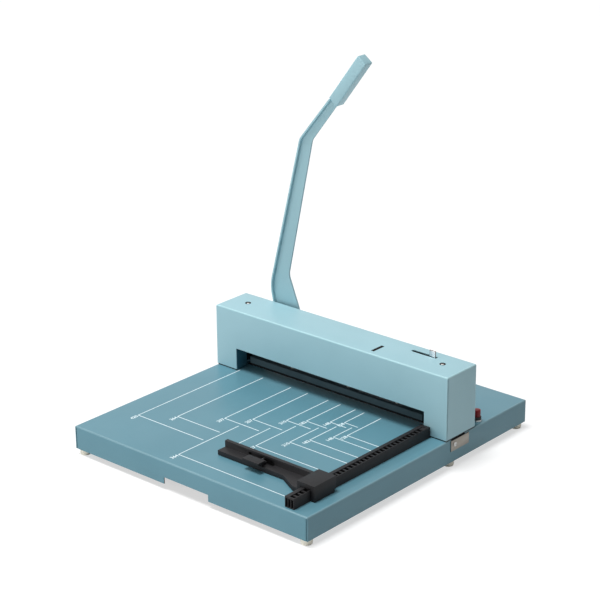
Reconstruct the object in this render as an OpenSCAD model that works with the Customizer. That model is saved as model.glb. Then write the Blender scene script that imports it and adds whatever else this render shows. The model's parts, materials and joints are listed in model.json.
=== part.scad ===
// Desk guillotine for paper up to 420 mm wide. A folded steel table carries a housing
// over the blade, a side rail with a sliding gauge, and a long hand lever at the back.
// Millimetres: +X runs to the right along the blade, +Y to the back, +Z up.
// The origin lies under the table's centre, on the surface that the feet stand on.

/* [Table] */
// Width of the table, along the blade
table_w = 524; // [518:1:540]
// Depth of the table, front to back
table_d = 586; // [580:1:620]
// Height of the folded skirt round the table
skirt_h = 42; // [38:1:50]
// Thickness of the folded steel sheet
sheet_t = 1.6; // [1.2:0.1:2]
// Width of the hand notch in the front skirt
notch_w = 100; // [60:1:140]
// Height of the hand notch
notch_h = 12; // [6:1:20]
// Diameter of a rubber foot
foot_d = 20; // [18:1:22]
// Height of a foot below the skirt
foot_h = 11; // [8:1:14]

/* [Housing] */
// Distance from the table's centre line back to the housing's front face
housing_front = 61.5; // [60:0.5:63]
// Depth of the blade housing
housing_d = 80; // [79:1:81]
// Height of the housing's top above the table
housing_top = 117; // [116:1:124]
// Gap between the table and the housing's lower edge
housing_gap = 2.4; // [1.5:0.1:4]
// Width of the paper opening
opening_w = 429; // [420:1:431]
// Height of the paper opening above the table
opening_h = 43; // [36:1:48]
// Height of the opening at the back
back_opening_h = 16; // [12:1:20]

/* [Cutting] */
// Distance from the table's centre line back to the cutting line
cut_y = 105; // [104.5:0.1:105.5]
// Height of the raised blade's edge above the table
blade_lift = 12.5; // [12:0.1:13]
// Height of the raised clamp bar above the table
clamp_lift = 11; // [10.8:0.1:11.5]
// Height of the clamp bar
clamp_h = 14.5; // [12:0.5:18]
// Length of the clamp bar
clamp_w = 394; // [380:1:400]

/* [Lever] */
// Place of the lever's pivot along the blade
pivot_x = -150; // [-152:1:-148]
// Height of the lever's pivot above the table
pivot_h = 55; // [54:1:57]
// Angle that the lever swings through, from upright to down
lever_swing = 77; // [70:1:80]
// Thickness of the lever's web
lever_web = 3.2; // [2.5:0.1:4]
// Depth of the flange along the lever's left edge
lever_flange = 5; // [4:0.5:6]
// Length of the grip
grip_len = 105; // [95:1:115]
// Width of the grip
grip_w = 21.5; // [18:0.5:24]
// Thickness of the grip
grip_t = 20; // [15:0.5:22]

/* [Gauge] */
// Place of the side rail's guiding face, to the right of the table's centre line
rail_x = 210.7; // [210:0.1:211]
// Width of the side rail
rail_w = 18.6; // [17:0.1:19]
// Height of the side rail
rail_h = 19; // [17:0.5:19]
// Pitch of the rail's cross bars
rail_pitch = 10; // [8:1:14]
// Distance from the table's centre line forward to the gauge's stop face
stop_y = 195; // [190:1:200]
// Reach of the gauge's arm to the left of its block
arm_len = 198; // [150:1:210]

/* [Hidden] */
$fn = 64;
eps = 0.01;
// Radial clearance of a running fit
run_fit = 0.05;
table_z = foot_h + skirt_h;
half_w = table_w / 2;
half_d = table_d / 2;
housing_back = housing_front + housing_d;
housing_z = table_z + housing_top;

// Table
pan_seam = 1.6;
flange_w = 42;
foot_inset = 11.5;
foot_x = half_w - foot_inset;
foot_ys = [-half_d + foot_inset, 84, half_d - foot_inset];
foot_screw_r = 2.5;
foot_head_r = 3.8;
foot_sink_r = 4.3;
foot_round = 2.6;
foot_taper = 0.5;
foot_screw_grip = 6;
brace_ys = [-160, 215];
brace_w = 34;
brace_h = 18;
stick_w = 14;
stick_h = 11;
stick_y = cut_y + 0.6;
tray_t = 1.4;
tray_fit = 0.3;
score_w = 7;
score_h = 1;
stick_drop = 0.2;
stick_back = 14;
groove_x0 = -half_w + 6;
end_cut_y0 = 76;
end_cut_y1 = 114;
end_cut_h = 6;

// Housing's corner seams, and the strips under its lower edges
cover_seam = 1.3;
seal_inset = 0.8;
seal_t = 1.4;

// Frames and beams inside the housing
cheek_x = 216;
frame_x = 254;
plate_t = 6;
frame_y0 = housing_front + 2.5;
frame_y1 = housing_back - 4.5;
cheek_y1 = 91;
frame_h = 104;
frame_bolt_x = 235;
frame_bolt_ys = [80, 126];
bolt_r = 3;
bolt_head_r = 5.5;
bolt_head_h = 3.5;
sink_r = 5.6;
sink_y = 4;
blade_t = 4;
carrier_t = 9;
carrier_y = cut_y + blade_t;
beam_y = carrier_y + carrier_t + 1;
beam_t = 10;
beam_z0 = 30;
beam_z1 = 110;
beam_bolt_hs = [45, 95];
beam_back = beam_y + beam_t;
beam_mid = beam_y + beam_t / 2;
beam_bolt_len = 20;

// Blade travel: the carrier slides down and to the left along slots at this tilt
travel_tilt = 45;
blade_drop = blade_lift + 0.5;
blade_travel = blade_drop / cos(travel_tilt);
half_swing = lever_swing / 2;
ecc_offset = blade_travel / (2 * sin(half_swing));
ecc_r = 24;
ecc_play = 0.7;
ecc_angle = half_swing - travel_tilt;
shaft_r = 8;
bush_r = 13;
bush_flange_w = 3;
bush_flange_t = 1.5;
return_coil_r = 13;
return_wire_r = 1;
return_turns = 2.5;
return_len = 8;
shaft_room = 2;
yoke_reach = 5;
pivot_z = table_z + pivot_h;
ecc_x = pivot_x + ecc_offset * cos(ecc_angle);
ecc_z = pivot_z + ecc_offset * sin(ecc_angle);
guide_xs = [-205, 165];
guide_h = 62;
guide_r = 6;
guide_play = 0.3;
guide_stem_r = 4;
guide_head_r = 6.5;
guide_head_h = 4;
carrier_x0 = -222;
carrier_x1 = 226;
carrier_z0 = 21;
carrier_z1 = 104;
blade_x0 = -206;
blade_x1 = 226;
blade_h = 35;
bevel_h = 9;
blade_bolt_xs = [-195, -75, 5, 85, 205];
blade_bolt_h = 36;

// Clamp
clamp_y0 = 80;
clamp_y1 = cut_y - 1.2;
rod_xs = [-105, 26, 134];
rod_y = 92;
rod_r = 4;
guide_bar_z0 = 62;
guide_bar_h = 14;
guide_bar_y0 = 84;
guide_bar_y1 = 100;
guide_bolt_y = 87.5;
guide_bar_mid = table_z + guide_bar_z0 + guide_bar_h / 2;
guide_bolt_len = 12;
nut_z = 92;
nut_h = 6;
nut_r = 8;
rod_floor = 4;
rod_step = 0.5;
lift_coil_r = 6.2;
lift_wire_r = 0.9;
lift_turns = 5;

// Lever outline in the plane of its swing, heights above the table
lever_y = housing_back + 1.5;
web_y = lever_y + lever_flange;
hub_r = 32;
hub = [pivot_x, pivot_h];
left_bend = [-203.5, 146];
right_bend = [-162.6, 173.3];
lever_left = [tangent(left_bend, hub, hub_r, -1), left_bend, [-130.5, 435.7], [-63.2, 517.8]];
lever_right = [tangent(right_bend, hub, hub_r, 1), right_bend, [-105.4, 436.2], [-50.5, 506.5]];
lever_left_r = [80, 26];
lever_right_r = [24, 20];
flange_t = 3;
flange_foot = 72;
boss_r = 18;
boss_h = 8;
boss_y = web_y + lever_web;
shaft_washer_r = 13;
shaft_washer_t = 1.6;
shaft_nut_r = 11;
grip_foot = [-54.9, 513.3];
grip_angle = 52.7;
grip_cut = 1.5;
grip_screw_r = 2;
grip_head_r = 3.8;
grip_head_h = 1.8;
grip_screw_at = [18, 50];
tang_len = 64;
tang_w = 15;
tang_fit = 0.1;

// Side rail and gauge
rail_y0 = -half_d + 6;
rail_y1 = housing_front - 1.5;
rail_wall = 1.3;
rail_top = 3;
cell_w = (rail_w - 4 * rail_wall) / 3;
bar_w = 3.6;
pocket_n = floor((rail_y1 - rail_y0 - 8) / rail_pitch);
rail_screw_ys = [-240, -110, 20];
rail_screw_r = 1.5;
rail_screw_grip = 5;
rail_mid = rail_x + rail_w / 2;
ladder_x = rail_x + 2 * rail_wall + cell_w;
ladder_sink = 1.2;
ladder_y0 = rail_y0 + 3;
cell_y0 = rail_y0 + 4;
rail_end = 6;
block_x0 = 201.5;
block_x1 = 238;
block_len = 53;
block_h = 28;
rail_play = 0.5;
bay = rail_play + 1.5;
block_y1 = -stop_y;
block_y0 = block_y1 - block_len;
gauge_screw_ys = [block_y0 + 10, block_y1 - 10];
arm_x0 = block_x0 - arm_len;
wall_t = 6.8;
wall_h = 20.5;
ledge_h = 9;
ledge_w = 24.5;
ledge_y = block_y1 - ledge_w;
arm_lift = 1;
block_lift = 0.5;
gauge_screw_r = 1.6;
gusset_x = 147;
gusset_w = 37;
gusset_d = 19.5;
latch_x0 = 70;
latch_x1 = 105.5;
latch_front = ledge_y - 12.6;
latch_back = ledge_y + 4.5;
latch_top = wall_h - 0.2;
latch_t = 2.8;
latch_lip = 1.6;
latch_inset = 5;
latch_web = 3;
latch_play = 0.5;
tail_z0 = 10;
tail_z1 = 14;
tail_y1 = block_y1 - wall_t - 4;
pocket_x0 = 57;
pocket_x1 = 113;
pocket_z0 = 5;
pocket_z1 = 16.5;
pocket_d = 4.5;
pocket_front = 5;
latch_coil_r = 1.6;
latch_wire_r = 0.35;
latch_turns = 3;
pocket_y1 = block_y1 - wall_t + pocket_d;

// Lock slide and button
slot_x0 = 143;
slot_x1 = 197;
slot_y = 119;
slot_w = 7.5;
cover_screw_xs = [-222.5, 219.5];
cover_screw_y = 104;
cover_screw_r = 2;
cover_screw_len = 8;
cover_head_r = 3.2;
cover_head_h = 1.5;
washer_r = 5.5;
washer_t = 0.4;
cup_r = 4.8;
cup_t = 0.6;
cup_h = 2.6;
tab_x0 = 180.5;
tab_x1 = 193.5;
tab_h = 11;
tab_t = 2.4;
button_x = 249;
button_y = 166;
button_r = 6.1;
button_fit = 0.3;
hex_r = 8.4;
hex_h = 3;
collar_r = 7.4;
collar_h = 5.5;
cap_z0 = 8;
cap_z1 = 21.4;
stem_r = 3;
stem_len = 22;
button_coil_r = stem_r + 1.4;
button_wire_r = 0.5;
button_turns = 3;
button_floor = 1;

// Cover plate over the end of the stick's groove
plate_y0 = 74;
plate_y1 = 124;
plate_z0 = -21.5;
plate_z1 = -2;
plate_screw_y = 84.5;
plate_screw_z = -10.4;
plate_thick = 1.5;
plate_screw_r = 2;
plate_head_r = 3.8;
plate_head_h = 2;
plate_play = 0.1;

// Colours
pale_blue = [0.68, 0.82, 0.86];
table_blue = [0.42, 0.60, 0.67];
black_plastic = [0.12, 0.12, 0.13];
dark_steel = [0.25, 0.27, 0.29];
bright_steel = [0.72, 0.73, 0.74];
cream_rubber = [0.88, 0.85, 0.74];
red_plastic = [0.62, 0.06, 0.08];

function unit(v) = v / norm(v);
function angle_of(v) = atan2(v[1], v[0]);
// Point where a line from p touches a circle, on its right for side 1 and its left for -1
function tangent(p, centre, r, side) =
  let (
    d = norm(centre - p),
    heading = atan2(centre[1] - p[1], centre[0] - p[0]) + side * asin(r / d)
  )
  p + sqrt(d * d - r * r) * [cos(heading), sin(heading)];
// Arc of radius r that rounds the corner b between a and c
function corner(a, b, c, r, steps = 10) =
  let (
    u = unit(a - b),
    w = unit(c - b),
    half = acos(u * w) / 2,
    centre = b + unit(u + w) * r / sin(half),
    from = b + u * r / tan(half) - centre,
    to = b + w * r / tan(half) - centre,
    a0 = atan2(from[1], from[0]),
    turn = atan2(from[0] * to[1] - from[1] * to[0], from * to)
  )
  [for (i = [0:steps]) centre + r * [cos(a0 + turn * i / steps), sin(a0 + turn * i / steps)]];
// Path of four points with its two inner corners rounded
function bent(p, r) =
  concat([p[0]], corner(p[0], p[1], p[2], r[0]), corner(p[1], p[2], p[3], r[1]), [p[3]]);
function side_of(a, b) = let (u = unit(b - a)) [u[1], -u[0]];
function mitre(a, b, c, d) = let (m = side_of(a, b) + side_of(b, c)) b + m * 2 * d / (m * m);
// The same path moved to its right by d
function beside(p, d) = [p[0] + side_of(p[0], p[1]) * d, mitre(p[0], p[1], p[2], d),
  mitre(p[1], p[2], p[3], d), p[3] + side_of(p[2], p[3]) * d];
function backwards(p) = [for (i = [len(p) - 1:-1:0]) p[i]];
function raised(p) = [for (q = p) [q[0], q[1] + table_z]];

// Box between two opposite corners
module block(lo, hi) {
  translate(lo)
    cube(hi - lo);
}
// Box with heights counted from the table top
module table_block(lo, hi) {
  translate([0, 0, table_z])
    block(lo, hi);
}
module rod_x(y, z, r, x0, x1) {
  translate([x0, y, z])
    rotate([0, 90, 0])
      cylinder(h = x1 - x0, r = r);
}
module rod_y(x, z, r, y0, y1) {
  translate([x, y0, z])
    rotate([-90, 0, 0])
      cylinder(h = y1 - y0, r = r);
}
// Extrudes an outline drawn in X and Z from y0 to y1
module upright(y0, y1) {
  translate([0, y1, 0])
    rotate([90, 0, 0])
      linear_extrude(y1 - y0)
        children();
}
// Round-ended slot along local Z, from the origin up
module slot_cut(r, len, y0, y1) {
  rod_y(0, 0, r, y0, y1);
  rod_y(0, len, r, y0, y1);
  block([-r, y0, 0], [r, y1, len]);
}
// Pan-head screw pointing down, with its head's underside at the origin
module pan_screw(r, len, head_r, head_h) {
  translate([0, 0, -len])
    cylinder(h = len + eps, r = r);
  difference() {
    cylinder(h = head_h, r = head_r);
    for (turn = [0, 90])
      rotate([0, 0, turn])
        block([-head_r * 0.6, -0.4, head_h * 0.5], [head_r * 0.6, 0.4, head_h + 1]);
  }
}
// Open coil along Z made as one tube of hexagon rings
module coil(r, wire_r, turns, h) {
  rings = turns * 8;
  sides = 6;
  points = [
    for (i = [0:rings], k = [0:sides - 1])
      let (a = 45 * i, t = 60 * k, rad = r + wire_r * cos(t))
        [rad * cos(a), rad * sin(a), wire_r + (h - 2 * wire_r) * i / rings + wire_r * sin(t)]
  ];
  walls = [
    for (i = [0:rings - 1], k = [0:sides - 1])
      let (a = i * sides + k, b = i * sides + (k + 1) % sides, c = b + sides, d = a + sides)
        each [[a, d, c], [a, c, b]]
  ];
  first = [for (k = [1:sides - 2]) [0, k, k + 1]];
  last = [for (k = [1:sides - 2]) [rings * sides, rings * sides + k + 1, rings * sides + k]];
  polyhedron(points = points, faces = concat(walls, first, last));
}

// Table: a folded pan, open below, with return flanges for the feet
module base_pan() {
  z0 = foot_h;
  color(table_blue)
    difference() {
      block([-half_w, -half_d, z0], [half_w, half_d, table_z]);
      difference() {
        block([-half_w + sheet_t, -half_d + sheet_t, z0 - 1],
          [half_w - sheet_t, half_d - sheet_t, table_z - sheet_t]);
        for (side = [-1, 1])
          block([side * half_w - flange_w, -half_d, z0],
            [side * half_w + flange_w, half_d, z0 + sheet_t]);
      }
      block([-notch_w / 2, -half_d - 1, z0 - 1], [notch_w / 2, -half_d + sheet_t + 1, z0 + notch_h]);
      for (sx = [-1, 1], sy = [-1, 1])
        translate([sx * (half_w - sheet_t - pan_seam / 2), sy * half_d, z0 + skirt_h / 2 - sheet_t - 0.5])
          cube([pan_seam, 3 * sheet_t, skirt_h], center = true);
      table_block([groove_x0, stick_y - stick_w / 2, -sheet_t - 1],
        [half_w + 1, stick_y + stick_w / 2, 1]);
      table_block([half_w - 3, stick_y - stick_w / 2, -stick_h - tray_t],
        [half_w + 1, stick_y + stick_w / 2, 1]);
      table_block([half_w - 3, end_cut_y0, -end_cut_h], [half_w + 1, end_cut_y1, 1]);
      for (side = [-1, 1], y = foot_ys)
        translate([side * foot_x, y, 0])
          cylinder(h = 2 * foot_h, r = foot_screw_r);
      for (side = [-1, 1], y = frame_bolt_ys)
        translate([side * frame_bolt_x, y, table_z - 5])
          cylinder(h = 10, r = bolt_r + run_fit);
      for (y = rail_screw_ys)
        translate([rail_mid, y, table_z - 5])
          cylinder(h = 10, r = rail_screw_r + 0.3);
      translate([button_x, button_y, table_z - 5])
        cylinder(h = 10, r = stem_r + run_fit);
    }
}
// Two channels across the underside that keep the table flat
module table_braces() {
  color(table_blue)
    for (y = brace_ys)
      difference() {
        table_block([-half_w + 20, y - brace_w / 2, -sheet_t - brace_h],
          [half_w - 20, y + brace_w / 2, -sheet_t]);
        table_block([-half_w, y - brace_w / 2 + sheet_t, -brace_h],
          [half_w, y + brace_w / 2 - sheet_t, 0]);
      }
}
// Channel under the table that holds the cutting stick
module stick_tray() {
  inner = stick_w / 2 + tray_fit;
  color(dark_steel)
    difference() {
      table_block([groove_x0, stick_y - inner - tray_t, -stick_h - 2 * tray_t],
        [half_w - 4, stick_y + inner + tray_t, -sheet_t]);
      table_block([groove_x0 + tray_t, stick_y - inner, -stick_h - tray_t],
        [half_w, stick_y + inner, 0]);
    }
}
// Plastic stick that the blade closes on, scored along the cutting line
module cutting_stick() {
  half = stick_w / 2 - tray_fit;
  color(black_plastic)
    difference() {
      table_block([groove_x0 + 2, stick_y - half, -stick_h - tray_t + stick_drop],
        [half_w - stick_back, stick_y + half, -stick_drop]);
      table_block([-half_w, clamp_y1, -stick_drop - score_h],
        [half_w, clamp_y1 + score_w, 1]);
    }
}
// Rubber feet, drilled for their screws
module feet() {
  rim = foot_d / 2 - foot_taper - foot_round;
  foot_edge = [for (turn = [-90:15:0]) [rim, foot_round] + foot_round * [cos(turn), sin(turn)]];
  color(cream_rubber)
    for (side = [-1, 1], y = foot_ys)
      translate([side * foot_x, y, 0])
        difference() {
          rotate_extrude()
            polygon(concat([[0, foot_h], [0, 0]], foot_edge, [[foot_d / 2, foot_h]]));
          translate([0, 0, -1])
            cylinder(h = foot_h / 2 + 1, r = foot_sink_r);
          cylinder(h = 2 * foot_h, r = foot_screw_r + run_fit);
        }
}
module foot_screws() {
  color(bright_steel)
    for (side = [-1, 1], y = foot_ys)
      translate([side * foot_x, y, foot_h / 2])
        mirror([0, 0, 1])
          pan_screw(foot_screw_r - run_fit, foot_h / 2 + foot_screw_grip, foot_head_r, foot_screw_r);
}

// End frames: brackets open to the back that carry the beams
module end_frame(side) {
  mirror([side < 0 ? 1 : 0, 0, 0])
    difference() {
      table_block([cheek_x, frame_y0, 0], [frame_x, frame_y1, frame_h]);
      table_block([cheek_x + plate_t, frame_y0 + plate_t, plate_t],
        [frame_x - plate_t, frame_y1 + 1, frame_h + 1]);
      table_block([cheek_x - 1, cheek_y1, -1],
        [cheek_x + plate_t + eps, frame_y1 + 1, frame_h + 1]);
      for (y = frame_bolt_ys)
        translate([frame_bolt_x, y, table_z - 1])
          cylinder(h = plate_t + 2, r = bolt_r + run_fit);
      for (h = beam_bolt_hs)
        rod_x(beam_mid, table_z + h, bolt_r + run_fit, frame_x - plate_t - 1, frame_x + 1);
      rod_x(guide_bolt_y, guide_bar_mid, bolt_r + run_fit, cheek_x - 1, cheek_x + plate_t + 1);
    }
}
module end_frame_left() {
  color(dark_steel)
    end_frame(-1);
}
module end_frame_right() {
  color(dark_steel)
    end_frame(1);
}
// Bolts up through the table into the end frames
module frame_bolts() {
  color(bright_steel)
    for (side = [-1, 1], y = frame_bolt_ys)
      translate([side * frame_bolt_x, y, table_z - sheet_t])
        mirror([0, 0, 1])
          pan_screw(bolt_r, sheet_t + plate_t + 4, bolt_head_r, bolt_head_h);
}
// Beam behind the blade that carries the guides and the lever's bush
module guide_beam() {
  color(dark_steel)
    difference() {
      table_block([-frame_x + plate_t, beam_y, beam_z0],
        [frame_x - plate_t, beam_back, beam_z1]);
      rod_y(pivot_x, pivot_z, bush_r + run_fit, beam_y - 1, beam_back + 1);
      for (x = guide_xs)
        rod_y(x, table_z + guide_h, guide_stem_r, beam_y - 1, beam_back + 1);
      for (side = [-1, 1], h = beam_bolt_hs)
        mirror([side < 0 ? 1 : 0, 0, 0])
          rod_x(beam_mid, table_z + h, bolt_r + run_fit, frame_x - beam_bolt_len - 4, frame_x);
    }
}
module beam_bolts() {
  color(bright_steel)
    for (side = [-1, 1], h = beam_bolt_hs)
      mirror([side < 0 ? 1 : 0, 0, 0])
        translate([frame_x, beam_mid, table_z + h])
          rotate([0, 90, 0])
            pan_screw(bolt_r, beam_bolt_len, bolt_head_r, bolt_head_h);
}
// Shoulder bolts in the beam that the carrier's slots run on
module blade_guides() {
  color(bright_steel)
    for (x = guide_xs) {
      rod_y(x, table_z + guide_h, guide_r, carrier_y + 0.5, beam_y);
      rod_y(x, table_z + guide_h, guide_stem_r - run_fit, beam_y - eps, beam_back + 3);
      rod_y(x, table_z + guide_h, guide_head_r, beam_back, beam_back + guide_head_h);
    }
}
// Bar across the front that guides the clamp's rods
module clamp_guide() {
  color(dark_steel)
    difference() {
      table_block([-cheek_x, guide_bar_y0, guide_bar_z0],
        [cheek_x, guide_bar_y1, guide_bar_z0 + guide_bar_h]);
      for (x = rod_xs)
        translate([x, rod_y, table_z + guide_bar_z0 - 1])
          cylinder(h = guide_bar_h + 2, r = rod_r + run_fit);
      for (side = [-1, 1])
        mirror([side < 0 ? 1 : 0, 0, 0])
          rod_x(guide_bolt_y, guide_bar_mid, bolt_r + run_fit, cheek_x - guide_bolt_len - 4, cheek_x + 1);
    }
}
module clamp_guide_bolts() {
  color(bright_steel)
    for (side = [-1, 1])
      mirror([side < 0 ? 1 : 0, 0, 0])
        translate([cheek_x + plate_t, guide_bolt_y, guide_bar_mid])
          rotate([0, 90, 0])
            pan_screw(bolt_r, plate_t + guide_bolt_len, bolt_head_r, bolt_head_h);
}
// Flanged bush of the lever's shaft
module pivot_bush() {
  color("darkgoldenrod")
    difference() {
      union() {
        rod_y(pivot_x, pivot_z, bush_r, beam_y, beam_back);
        rod_y(pivot_x, pivot_z, bush_r + bush_flange_w, beam_back - eps, beam_back + bush_flange_t);
      }
      rod_y(pivot_x, pivot_z, shaft_r + run_fit, beam_y - 1, beam_back + 4);
    }
}
// Coil on the shaft that holds the lever up
module return_spring() {
  color(bright_steel)
    translate([pivot_x, housing_back - sheet_t - 0.4, pivot_z])
      rotate([90, 0, 0])
        coil(return_coil_r, return_wire_r, return_turns, return_len);
}
// Coils over the clamp's rods that lift the clamp bar
module clamp_springs() {
  color(bright_steel)
    for (x = rod_xs)
      translate([x, rod_y, table_z + guide_bar_z0 + guide_bar_h + 0.2])
        coil(lift_coil_r, lift_wire_r, lift_turns, nut_z - guide_bar_z0 - guide_bar_h - 0.4);
}
// Folded cover over the blade, with the paper opening front and back
module housing_cover() {
  z0 = table_z + housing_gap;
  color(pale_blue)
    difference() {
      block([-half_w, housing_front, z0], [half_w, housing_back, housing_z]);
      block([-half_w + sheet_t, housing_front + sheet_t, z0 - 1],
        [half_w - sheet_t, housing_back - sheet_t, housing_z - sheet_t]);
      table_block([-opening_w / 2, housing_front - 1, 0],
        [opening_w / 2, housing_back - 2 * sheet_t, opening_h]);
      table_block([-opening_w / 2, housing_front, 0],
        [opening_w / 2, housing_back + 1, back_opening_h]);
      for (sx = [-1, 1])
        translate([sx * half_w - 2 * sheet_t, housing_front + sheet_t, z0 - 1])
          cube([4 * sheet_t, cover_seam, housing_z - z0 - sheet_t]);
      hull()
        for (x = [slot_x0 + slot_w / 2, slot_x1 - slot_w / 2])
          translate([x, slot_y, housing_z - 5])
            cylinder(h = 10, r = slot_w / 2);
      rod_y(pivot_x, pivot_z, shaft_r + shaft_room, housing_back - 5, housing_back + 5);
      for (x = cover_screw_xs)
        translate([x, cover_screw_y, housing_z - 5])
          cylinder(h = 10, r = cup_r + run_fit);
    }
}
// Rubber strips between the table and the ends of the cover
module cover_seals() {
  outer_x = half_w - seal_inset;
  inner_x = opening_w / 2 + seal_inset;
  color(black_plastic)
    for (side = [0, 1])
      mirror([side, 0, 0])
        difference() {
          table_block([inner_x, housing_front + seal_inset, 0],
            [outer_x, housing_back - seal_inset, housing_gap]);
          table_block([inner_x - 1, housing_front + seal_inset + seal_t, -1],
            [outer_x - seal_t, housing_back - seal_inset - seal_t, housing_gap + 1]);
        }
}
module cover_screws() {
  color(bright_steel)
    for (x = cover_screw_xs)
      translate([x, cover_screw_y, housing_z - cup_h + cup_t])
        pan_screw(cover_screw_r, cover_screw_len, cover_head_r, cover_head_h);
}
// Cup washers let into the cover, so that the screws' heads lie below its top
module cover_washers() {
  color(black_plastic)
    for (x = cover_screw_xs)
      translate([x, cover_screw_y, housing_z - cup_h])
        difference() {
          union() {
            cylinder(h = cup_h, r = cup_r);
            translate([0, 0, cup_h])
              cylinder(h = washer_t, r = washer_r);
          }
          translate([0, 0, cup_t])
            cylinder(h = cup_h, r = cup_r - cup_t);
          translate([0, 0, -1])
            cylinder(h = cup_h, r = cover_screw_r + run_fit);
        }
}

// Side rail: a hollow moulding with a ladder of cross bars along its top
module side_rail() {
  color(black_plastic)
    difference() {
      table_block([rail_x, rail_y0, 0], [rail_x + rail_w, rail_y1, rail_h]);
      for (i = [0:2])
        table_block([rail_x + rail_wall + i * (cell_w + rail_wall), rail_y0 - 1, rail_wall],
          [rail_x + (i + 1) * (cell_w + rail_wall), rail_y1 - rail_end, rail_h - rail_top]);
      table_block([ladder_x, ladder_y0, rail_h - ladder_sink],
        [rail_x + rail_w - rail_wall, rail_y1 - rail_end, rail_h + 1]);
      for (i = [0:pocket_n - 1])
        table_block([ladder_x, cell_y0 + i * rail_pitch, rail_h - rail_top - 1],
          [rail_x + rail_w - rail_wall, cell_y0 + (i + 1) * rail_pitch - bar_w, rail_h]);
      for (y = rail_screw_ys)
        translate([rail_mid, y, table_z - 1])
          cylinder(h = 4, r = rail_screw_r + run_fit);
    }
}
module rail_screws() {
  color(bright_steel)
    for (y = rail_screw_ys)
      translate([rail_mid, y, table_z - sheet_t])
        mirror([0, 0, 1])
          pan_screw(rail_screw_r, sheet_t + rail_screw_grip, 2 * rail_screw_r, rail_screw_r);
}

// Lever outline: web, tang for the grip and round end at the pivot
module lever_outline() {
  along = [cos(grip_angle), sin(grip_angle)];
  across = [-along[1], along[0]] * tang_w / 2;
  tang_end = grip_foot + along * tang_len;
  tang = [grip_foot + across, tang_end + across, tang_end - across, grip_foot - across];
  from = angle_of(lever_right[0] - hub);
  sweep = angle_of(lever_left[0] - hub) - from;
  steps = 36;
  turns = [for (i = [1:steps - 1]) from + sweep * i / steps];
  round_end = [for (turn = turns) hub + hub_r * [cos(turn), sin(turn)]];
  up_side = bent(lever_left, lever_left_r);
  down_side = backwards(bent(lever_right, lever_right_r));
  polygon(raised(concat(up_side, tang, down_side, round_end)));
}
// All of the lever that is only as thick as its web
module lever_hollow() {
  inner = bent(beside(lever_left, flange_t), lever_left_r - [flange_t, flange_t]);
  top_cut = lever_left[3] - side_of(lever_left[2], lever_left[3]) * 50;
  far = 400;
  around = [top_cut, [-far, 2 * far], [far, 2 * far], [far, -far], [inner[0][0], -far]];
  polygon(raised(concat(inner, around)));
  translate([-far, -far])
    square([2 * far, far + table_z + flange_foot]);
}
// Lever: a pressed web with one flange along its left edge
module lever_arm() {
  color(pale_blue)
    difference() {
      upright(lever_y, web_y + lever_web)
        lever_outline();
      upright(lever_y - 1, web_y)
        lever_hollow();
      rod_y(pivot_x, pivot_z, shaft_r, lever_y, web_y + lever_web + 1);
      lever_grip_place()
        for (x = grip_screw_at)
          rod_y(x, 0, grip_screw_r, -1, grip_t);
    }
}
// Turns the grip's own axes to where it sits on the lever
module lever_grip_place() {
  translate([grip_foot[0], lever_y, grip_foot[1] + table_z])
    rotate([0, -grip_angle, 0])
      children();
}
// Grip: a box with broken edges
module lever_grip() {
  color(pale_blue)
    lever_grip_place()
      difference() {
        hull()
          for (x = [grip_cut, grip_len - grip_cut], y = [grip_cut, grip_t - grip_cut], z = [-1, 1])
            translate([x, y, z * (grip_w / 2 - grip_cut)])
              sphere(r = grip_cut, $fn = 16);
        block([-1, lever_flange - tang_fit, -tang_w / 2 - tang_fit],
          [tang_len + tang_fit, lever_flange + lever_web + tang_fit, tang_w / 2 + tang_fit]);
        for (x = grip_screw_at)
          rod_y(x, 0, grip_screw_r, lever_flange, grip_t + 1);
      }
}
// Screws from the back through the grip and the lever's tang
module grip_screws() {
  color(bright_steel)
    lever_grip_place()
      for (x = grip_screw_at)
        translate([x, grip_t, 0])
          rotate([-90, 0, 0])
            pan_screw(grip_screw_r - run_fit, grip_t - lever_flange, grip_head_r, grip_head_h);
}
// Boss that joins the lever to its shaft
module lever_hub() {
  color(pale_blue)
    difference() {
      rod_y(pivot_x, pivot_z, boss_r, boss_y, boss_y + boss_h);
      rod_y(pivot_x, pivot_z, shaft_r, web_y, boss_y + boss_h + 1);
    }
}
module pivot_shaft() {
  color(bright_steel)
    rod_y(pivot_x, pivot_z, shaft_r, carrier_y + 0.5, boss_y + boss_h);
}
module shaft_nut() {
  y0 = boss_y + boss_h;
  color(bright_steel) {
    rod_y(pivot_x, pivot_z, shaft_washer_r, y0, y0 + shaft_washer_t);
    translate([pivot_x, y0 + shaft_washer_t, pivot_z])
      rotate([-90, 0, 0])
        cylinder(h = shaft_r, r = shaft_nut_r, $fn = 6);
  }
}
// Eccentric on the shaft that drives the blade carrier
module eccentric() {
  color(dark_steel)
    difference() {
      rod_y(ecc_x, ecc_z, ecc_r, carrier_y + 0.6, carrier_y + carrier_t - 0.4);
      rod_y(pivot_x, pivot_z, shaft_r, carrier_y, carrier_y + carrier_t);
    }
}

// Blade carrier: slotted for its guides and for the eccentric
module blade_carrier() {
  y0 = carrier_y - 1;
  y1 = carrier_y + carrier_t + 1;
  yoke_r = ecc_r + ecc_play;
  color(dark_steel)
    difference() {
      table_block([carrier_x0, carrier_y, carrier_z0],
        [carrier_x1, carrier_y + carrier_t, carrier_z1]);
      for (x = guide_xs)
        translate([x, 0, table_z + guide_h])
          rotate([0, travel_tilt, 0])
            slot_cut(guide_r + guide_play, blade_travel, y0, y1);
      translate([ecc_x, 0, ecc_z])
        rotate([0, travel_tilt + 90, 0])
          translate([0, 0, -yoke_reach])
            slot_cut(yoke_r, 2 * yoke_reach, y0, y1);
      for (x = blade_bolt_xs) {
        rod_y(x, table_z + blade_bolt_h, bolt_r + run_fit, y0, y1);
        rod_y(x, table_z + blade_bolt_h, sink_r, carrier_y + sink_y, y1);
      }
    }
}
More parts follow.
